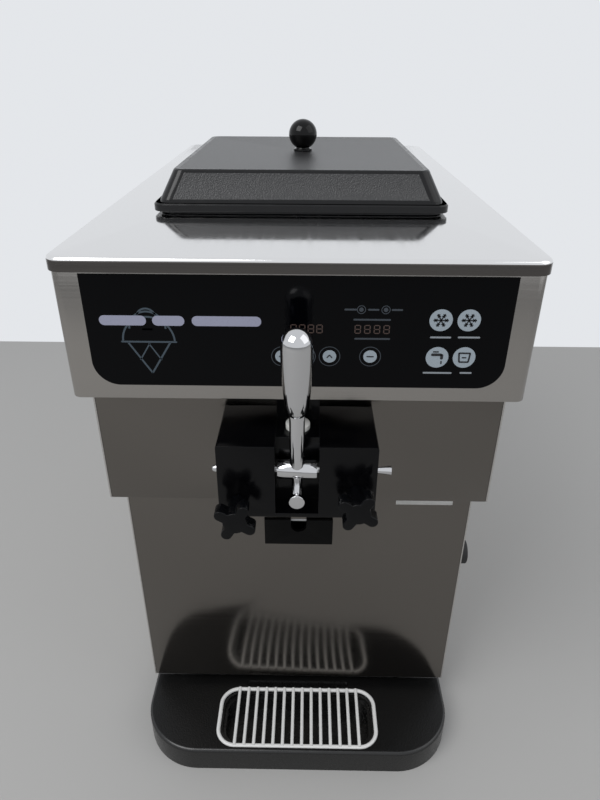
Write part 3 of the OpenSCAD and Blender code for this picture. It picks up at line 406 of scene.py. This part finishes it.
# ------------------------------------------------------------------ top panel and hopper collar
# One deep-drawn stainless lid plate over the casing, with rounded edges and a turned-down rim.
# The hopper's flange drops into its opening and a black moulded collar is clipped round it.
def rounded_block(low, high, corner, steps, edge=0.0, edge_steps=4, which=None):
    """A block whose upright edges, or those picked by which, have the corner radius, and its top edge the other."""
    edit = bmesh.new()
    size = high - low
    bmesh.ops.create_cube(edit, size=1, matrix=Matrix.Translation((low + high) / 2) @ Matrix.Diagonal((*size, 1)))
    upright = [e for e in edit.edges if abs(e.verts[0].co.z - e.verts[1].co.z) > size.z / 2
               and (which is None or which(e.verts[0].co))]
    bmesh.ops.bevel(edit, geom=upright, offset=corner, affect="EDGES", segments=steps, profile=0.5, material=-1)
    if edge:
        rim = [e for e in edit.edges if all(v.co.z > high.z - 1e-6 for v in e.verts)]
        bmesh.ops.bevel(edit, geom=rim, offset=edge, affect="EDGES", segments=edge_steps, profile=0.5, material=-1)
    for face in edit.faces:
        face.smooth = True
    return edit


def shade_by_angle(obj, angle=35):
    """Smooth shading that keeps the edges sharper than the angle."""
    limit = math.radians(angle)
    mesh = obj.data
    edit = bmesh.new()
    edit.from_mesh(mesh)
    for edge in edit.edges:
        edge.smooth = len(edge.link_faces) == 2 and edge.calc_face_angle(0) < limit
    for face in edit.faces:
        face.smooth = True
    edit.to_mesh(mesh)
    edit.free()


# The top's stainless is painted near white for the bright wall it mirrors: painted highlight. Its upright rim faces
# get a far darker copy as painted shade.
top_steel_painted_highlight = brushed("top_steel_painted_highlight", (0.84, 0.835, 0.83), (40, 1, 260), 0.07, 0.14)
panel_low, panel_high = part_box("top_panel")
plate = rounded_block(panel_low, panel_high, 0.014, 10, 0.004, 6)
bmesh.ops.delete(plate, geom=[f for f in plate.faces if f.calc_center_median().z < panel_low.z + 1e-6],
                 context="FACES_ONLY")
rim_low, rim_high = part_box("hopper")
hole_low = Vector((rim_low.x + 0.0085, rim_low.y + 0.0085, 0))
hole_high = Vector((rim_high.x - 0.0085, rim_high.y - 0.0085, 0))
for point, normal in ((hole_low, (1, 0, 0)), (hole_high, (1, 0, 0)), (hole_low, (0, 1, 0)), (hole_high, (0, 1, 0))):
    bmesh.ops.bisect_plane(plate, geom=[*plate.verts, *plate.edges, *plate.faces], plane_co=point, plane_no=normal)
opening = [f for f in plate.faces if f.calc_center_median().z > panel_high.z - 1e-6
           and hole_low.x < f.calc_center_median().x < hole_high.x
           and hole_low.y < f.calc_center_median().y < hole_high.y]
bmesh.ops.delete(plate, geom=opening, context="FACES")
# Upright faces take the second, dark copy: painted shade on the rim and skirt.
for face in plate.faces:
    face.material_index = int(abs(face.normal.z) < 0.35)
top_plate = piece("top_plate", plate, top_steel_painted_highlight, "machine", "top_panel")
top_plate.data.materials.append(brushed("rim_steel_painted_shade", (0.15, 0.14, 0.133), (1, 40, 260), 0.16, 0.26))
sheet = top_plate.modifiers.new("sheet", "SOLIDIFY")
sheet.thickness = 0.0015
shade_by_angle(top_plate)

gloss_black = shader("gloss_black", (0.004, 0.004, 0.005), 0.16, specular=0.3)
vary_roughness(gloss_black, noise(gloss_black, 60, 3), 0.12, 0.22)
collar = eased("hopper_collar", 0.0012, gloss_black, "machine")


# ------------------------------------------------------------------ hopper lid and its knob
# Injection-moulded black lid with leaning sides. The sides carry a coarse pebble grain between
# plain glossy borders and the top a finer one. A turned ball knob is screwed on from below.
lid_low, lid_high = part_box("hopper_lid")
lid_mid = (lid_low + lid_high) / 2
collar_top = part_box("hopper_collar")[1].z
lid_size = lid_high - lid_low
lid = bmesh.new()
bmesh.ops.create_grid(lid, x_segments=1, y_segments=1, size=0.5,
                      matrix=Matrix.Translation((lid_mid.x, lid_mid.y, collar_top)) @ Matrix.Diagonal((lid_size.x, lid_size.y, 1, 1)))
bmesh.ops.bevel(lid, geom=lid.verts, offset=0.012, affect="VERTICES", segments=6, profile=0.5, material=-1)


def raise_face(edit, face, up, grow):
    """Extrudes the face straight up, then changes its width and length by the same amount."""
    out = bmesh.ops.extrude_face_region(edit, geom=[face])["geom"]
    new_face = next(g for g in out if isinstance(g, bmesh.types.BMFace))
    verts = list(new_face.verts)
    middle = new_face.calc_center_bounds()
    span = Vector((max(abs(v.co.x - middle.x) for v in verts), max(abs(v.co.y - middle.y) for v in verts), 0))
    factor = Vector((1 + grow / span.x, 1 + grow / span.y, 1))
    bmesh.ops.scale(edit, vec=factor, verts=verts, space=Matrix.Translation(-middle))
    bmesh.ops.translate(edit, vec=(0, 0, up), verts=verts)
    return new_face


cap_face = lid.faces[:][0]
bmesh.ops.delete(lid, geom=[], context="FACES")
level = raise_face(lid, cap_face, 0.0062, 0)
level = raise_face(lid, level, 0.0013, -0.0012)
level = raise_face(lid, level, 0.0, -0.0038)
level = raise_face(lid, level, 0.0025, -0.0006)
base_of_slope = level.calc_center_bounds().z
level = raise_face(lid, level, lid_high.z - 0.0012 - base_of_slope, -0.0126)
level = raise_face(lid, level, 0.0012, -0.0014)
lid_top_z = level.calc_center_bounds().z
slopes = [f for f in lid.faces if f.calc_area() > 0.003 and f is not level and 0.1 < f.normal.z < 0.95]
bmesh.ops.inset_individual(lid, faces=slopes, thickness=0.0024, depth=-0.0005)
for face in slopes:
    face.material_index = 1
bmesh.ops.inset_individual(lid, faces=[level], thickness=0.004, depth=-0.0004)
level.material_index = 2
for face in lid.faces:
    face.smooth = True
lid_gloss = shader("lid_border", (0.003, 0.003, 0.0035), 0.2, specular=0.35)
vary_roughness(lid_gloss, noise(lid_gloss, 80, 3), 0.16, 0.28)
lid_grain = shader("lid_pebble_grain", (0.010, 0.010, 0.011), 0.38, specular=0.7)
emboss(lid_grain, noise(lid_grain, 780, 2), 0.0007)
lid_satin = shader("lid_top_grain", (0.014, 0.014, 0.015), 0.38, specular=0.85)
emboss(lid_satin, noise(lid_satin, 700, 2), 0.0003)
lid_piece = piece("lid_shell", lid, lid_gloss, "lid", "hopper_lid")
lid_piece.data.materials.append(lid_grain)
lid_piece.data.materials.append(lid_satin)
wall = lid_piece.modifiers.new("wall", "SOLIDIFY")
wall.thickness = 0.0025
soft = lid_piece.modifiers.new("edges", "BEVEL")
soft.width = 0.0008
soft.segments = 2
soft.angle_limit = math.radians(25)
shade_by_angle(lid_piece, 40)


def arc_points(center_r, center_z, radius, start, end, count):
    """Points of an arc in the lathe's plane, in millimetres."""
    return [(center_r + radius * math.cos(math.radians(start + (end - start) * i / count)),
             center_z + radius * math.sin(math.radians(start + (end - start) * i / count))) for i in range(count + 1)]


def turned(profile, steps=64):
    """A lathe-turned piece: the profile of (radius, height) points in millimetres is spun about Z."""
    edit = bmesh.new()
    verts = [edit.verts.new((max(r, 0) / 1000, 0, z / 1000)) for r, z in profile]
    edges = [edit.edges.new(pair) for pair in zip(verts, verts[1:])]
    bmesh.ops.spin(edit, geom=verts + edges, axis=(0, 0, 1), cent=(0, 0, 0), angle=math.tau, steps=steps,
                   use_merge=True)
    bmesh.ops.remove_doubles(edit, verts=edit.verts, dist=1e-6)
    for face in edit.faces:
        face.smooth = True
    return edit


ball_low, ball_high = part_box("lid_knob")
ball_r = (ball_high.x - ball_low.x) * 500
ball_z = (ball_high.z * 1000) - ball_r
knob = turned([(0, ball_low.z * 1000), (10.5, ball_low.z * 1000), *arc_points(9.7, ball_low.z * 1000 + 1.6, 0.8, 0, 90, 4),
               (8, ball_low.z * 1000 + 2.6), (7.4, ball_low.z * 1000 + 4)]
              + arc_points(0, ball_z, ball_r, -62, 90, 26))
bmesh.ops.translate(knob, vec=((ball_low.x + ball_high.x) / 2, (ball_low.y + ball_high.y) / 2, 0), verts=knob.verts)
ball_gloss = shader("ball_gloss", (0.001, 0.001, 0.0012), 0.08, specular=0.25)
vary_roughness(ball_gloss, noise(ball_gloss, 40, 2), 0.06, 0.12)
shade_by_angle(piece("ball_knob", knob, ball_gloss, "lid", "lid_knob"), 40)


# ------------------------------------------------------------------ dispensing head
# A machined black acetal block with a lever slot, clamped over two studs by hand knobs. Inside
# run the white draw piston and its O-rings. The star nozzle is pressed in from below.
head_black = shader("head_black", (0.0015, 0.0015, 0.002), 0.17, specular=0.22)
vary_roughness(head_black, noise(head_black, 50, 3), 0.13, 0.24)
head_block = eased("front_head", 0.0011, head_black, "machine")
# The bevel faces along the head's edges are painted light grey: painted highlight lines on the edges.
edge_painted_highlight = shader("edge_painted_highlight", (0.10, 0.10, 0.105), 0.22)
vary_roughness(edge_painted_highlight, noise(edge_painted_highlight, 90, 3), 0.16, 0.3)
head_block.data.materials.append(edge_painted_highlight)
head_block.modifiers["edges"].material = 1
eased("nozzle", 0.0005, head_black, "machine")

knob_black = shader("knob_black", (0.0012, 0.0014, 0.002), 0.2, specular=0.2)
vary_roughness(knob_black, noise(knob_black, 90, 3), 0.18, 0.32)
emboss(knob_black, noise(knob_black, 700, 2), 0.00006)
eased("left_knob", 0.0014, knob_black, "left_knob", 4)
eased("right_knob", 0.0014, knob_black, "right_knob", 4)
eased("draw_piston", 0.0006, white_plastic, "piston")


# ------------------------------------------------------------------ lever, pin and stop screw
# Chromed steel lever: a rod with a cross knuckle on the pivot pin, a toe below with a turned stop
# screw, and a weighted handle shrunk on its upper end. The pin is knurled at neither end.
chrome = shader("chrome_plate", (0.66, 0.66, 0.67), 0.06, metallic=1.0)
vary_roughness(chrome, noise(chrome, 70, 3), 0.04, 0.10)
eased("lever_arm", 0.0004, chrome, "lever", 2)
eased("pivot_pin", 0.0004, chrome, "machine", 2)
eased("stop_screw", 0.0006, chrome, "stop_screw", 3)

lever_joint = next(j for j in frame["joints"] if j["name"] == "lever_pull")
handle_low, handle_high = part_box("lever_handle")
grip_r = (handle_high.x - handle_low.x) * 500
reach = 150.5
lean = math.radians(13.4)
grip = turned([(6.4, 68.5), (7.6, 68.7), (9.3, 72.4), (9.7, 73.4), (10.6, 84), (11.5, 96), (12.15, 108),
               (grip_r - 0.05, 117), (grip_r, 124), *arc_points(0, reach - grip_r, grip_r, 0, 90, 20)], 72)
bmesh.ops.rotate(grip, matrix=Matrix.Rotation(lean, 3, "X"), verts=grip.verts)
bmesh.ops.translate(grip, vec=lever_joint["pos_m"], verts=grip.verts)
shade_by_angle(piece("grip", grip, chrome, "lever", "lever_handle"), 30)


# ------------------------------------------------------------------ drip tray, grille and drawer
# Moulded black tray with a fine grain on top and a plain rounded edge, a white-coated wire grille
# dropped in its seat, and a small leak drawer behind a plate with a thumb notch.
def solid(name, edit):
    """A helper object for cutting: it is removed again once it has been used."""
    bmesh.ops.recalc_face_normals(edit, faces=edit.faces)
    mesh = bpy.data.meshes.new(name)
    edit.to_mesh(mesh)
    edit.free()
    obj = bpy.data.objects.new(name, mesh)
    bpy.context.scene.collection.objects.link(obj)
    return obj


def combined(start, *steps):
    """Joins or cuts the start shape with each following one, and gives the result back as a bmesh."""
    base = solid("start", start)
    helpers = []
    for operation, edit in steps:
        helper = solid("helper", edit)
        helpers.append(helper)
        modifier = base.modifiers.new("shape", "BOOLEAN")
        modifier.operation = operation
        modifier.solver = "EXACT"
        modifier.object = helper
    bpy.context.view_layer.update()
    result = bmesh.new()
    result.from_object(base, bpy.context.evaluated_depsgraph_get())
    for obj in (base, *helpers):
        bpy.data.objects.remove(obj)
    return result


tray_low, tray_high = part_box("drip_tray")
wires_low, wires_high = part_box("drip_grille")
wires_mid = (wires_low + wires_high) / 2
seat_z = wires_low.z


def centred(middle, width, length, low_z, high_z, corner, steps=12, edge=0.0):
    half = Vector((width / 2, length / 2, 0))
    return rounded_block(Vector((middle.x, middle.y, low_z)) - half, Vector((middle.x, middle.y, high_z)) + half,
                         corner, steps, edge)


front_corner = lambda point: point.y < (tray_low.y + tray_high.y) / 2
ring_w = wires_high.x - wires_low.x
ring_l = wires_high.y - wires_low.y
inner_wall = Vector((0.003, 0.003, 0))
tray = combined(
    rounded_block(tray_low, tray_high, 0.070, 28, 0.0042, 6, front_corner),
    ("DIFFERENCE", rounded_block(Vector((tray_low.x, tray_low.y, -0.01)) + inner_wall,
                                 Vector((tray_high.x, tray_high.y, tray_high.z - 0.0045)) - inner_wall,
                                 0.067, 28, 0.0, 1, front_corner)),
    ("UNION", centred(wires_mid, ring_w + 0.008, ring_l + 0.004, 0.001, tray_high.z - 0.002, 0.027)),
    ("DIFFERENCE", centred(wires_mid, ring_w + 0.001, ring_l + 0.001, seat_z, 0.1, 0.0255)),
    ("DIFFERENCE", centred(wires_mid, ring_w - 0.014, ring_l - 0.014, seat_z - 0.006, 0.1, 0.021)),
    ("DIFFERENCE", centred(wires_mid, ring_w - 0.022, ring_l - 0.022, 0.004, 0.1, 0.018)),
    ("DIFFERENCE", centred(Vector((0, tray_high.y - 0.016, 0)), 0.136, 0.009, tray_high.z - 0.002, 0.1, 0.004)),
)
tray_black = shader("tray_black", (0.004, 0.004, 0.004), 0.2, specular=0.6)
vary_roughness(tray_black, noise(tray_black, 120, 3), 0.2, 0.34)
tray_grain = shader("tray_top_grain", (0.004, 0.004, 0.004), 0.36, specular=0.25)
emboss(tray_grain, noise(tray_grain, 560, 2), 0.0004)
for face in tray.faces:
    if face.normal.z > 0.99 and face.calc_center_median().z > tray_high.z - 0.0001:
        face.material_index = 1
tray_piece = piece("tray_shell", tray, tray_black, "tray", "drip_tray")
tray_piece.data.materials.append(tray_grain)
soft = tray_piece.modifiers.new("edges", "BEVEL")
soft.width = 0.0007
soft.segments = 2
soft.angle_limit = math.radians(40)
shade_by_angle(tray_piece, 40)

white_coat = shader("white_coating", (0.80, 0.80, 0.79), 0.28)
vary_roughness(white_coat, noise(white_coat, 150, 3), 0.22, 0.36)
emboss(white_coat, noise(white_coat, 260, 2), 0.00012)
dress(white_coat, "drip_grille")

drawer_grey = shader("drawer_grey", (0.003, 0.003, 0.003), 0.42, specular=0.1)
emboss(drawer_grey, noise(drawer_grey, 800, 2), 0.00012)
eased("drip_drawer", 0.0006, drawer_grey, "drawer", 2)


# ------------------------------------------------------------------ blank label and side bumper
# A small white paper label, left blank, stuck on the lower front under the middle front's fold,
# and a round black rubber bumper screwed to the right side.
panel_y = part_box("lower_front_panel")[0].y
fold_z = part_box("mid_front_panel")[0].z
paper = shader("paper_label", (0.72, 0.72, 0.70), 0.6)
vary_color(paper, noise(paper, 80, 3), (0.68, 0.68, 0.66), (0.76, 0.76, 0.74))
label_low = Vector((0.110, panel_y - 0.00015, fold_z - 0.0425))
label = rounded_block(label_low, label_low + Vector((0.064, 0.00015, 0.028)), 0.00006, 1)
piece("blank_label", label, paper, "machine")
eased("side_bumper", 0.0016, rubber, "machine", 4)


# ------------------------------------------------------------------ floor, backdrop and light
# A plain pale floor under a pale sky, with two soft lamps above the front.
floor_mesh = bmesh.new()
bmesh.ops.create_grid(floor_mesh, x_segments=1, y_segments=1, size=8)
bmesh.ops.translate(floor_mesh, vec=(0, 1.0 - 8, 0), verts=floor_mesh.verts)
mesh = bpy.data.meshes.new("floor")
floor_mesh.to_mesh(mesh)
floor_mesh.free()
floor = bpy.data.objects.new("floor", mesh)
bpy.context.scene.collection.objects.link(floor)
mesh.materials.append(shader("floor_paint", (0.46, 0.455, 0.445), 0.75))


def lamp(name, size, power, place, aim):
    light = bpy.data.lights.new(name, "AREA")
    light.size = size
    light.energy = power
    obj = bpy.data.objects.new(name, light)
    bpy.context.scene.collection.objects.link(obj)
    obj.location = place
    obj.rotation_euler = (Vector(aim) - Vector(place)).to_track_quat("-Z", "Y").to_euler()


lamp("key", 1.6, 32, (-1.2, -1.3, 2.4), (0, 0, 0.4))
lamp("fill", 2.0, 8, (1.8, -0.6, 2.0), (0, 0, 0.4))
world = bpy.data.worlds.new("sky")
bpy.context.scene.world = world
world.use_nodes = True
tree = world.node_tree
backdrop = tree.nodes["Background"]
backdrop.inputs["Color"].default_value = (0.80, 0.82, 0.85, 1)
ray = tree.nodes.new("ShaderNodeLightPath")
seen = ray.outputs["Is Camera Ray"]
for output in ("Is Glossy Ray", "Is Transmission Ray"):
    either = tree.nodes.new("ShaderNodeMath")
    either.operation = "MAXIMUM"
    tree.links.new(seen, either.inputs[0])
    tree.links.new(ray.outputs[output], either.inputs[1])
    seen = either.outputs["Value"]
strength = tree.nodes.new("ShaderNodeMapRange")
strength.inputs["To Min"].default_value = 0.65
strength.inputs["To Max"].default_value = 0.97
tree.links.new(seen, strength.inputs["Value"])
tree.links.new(strength.outputs["Result"], backdrop.inputs["Strength"])
bpy.context.scene.view_settings.view_transform = "Standard"
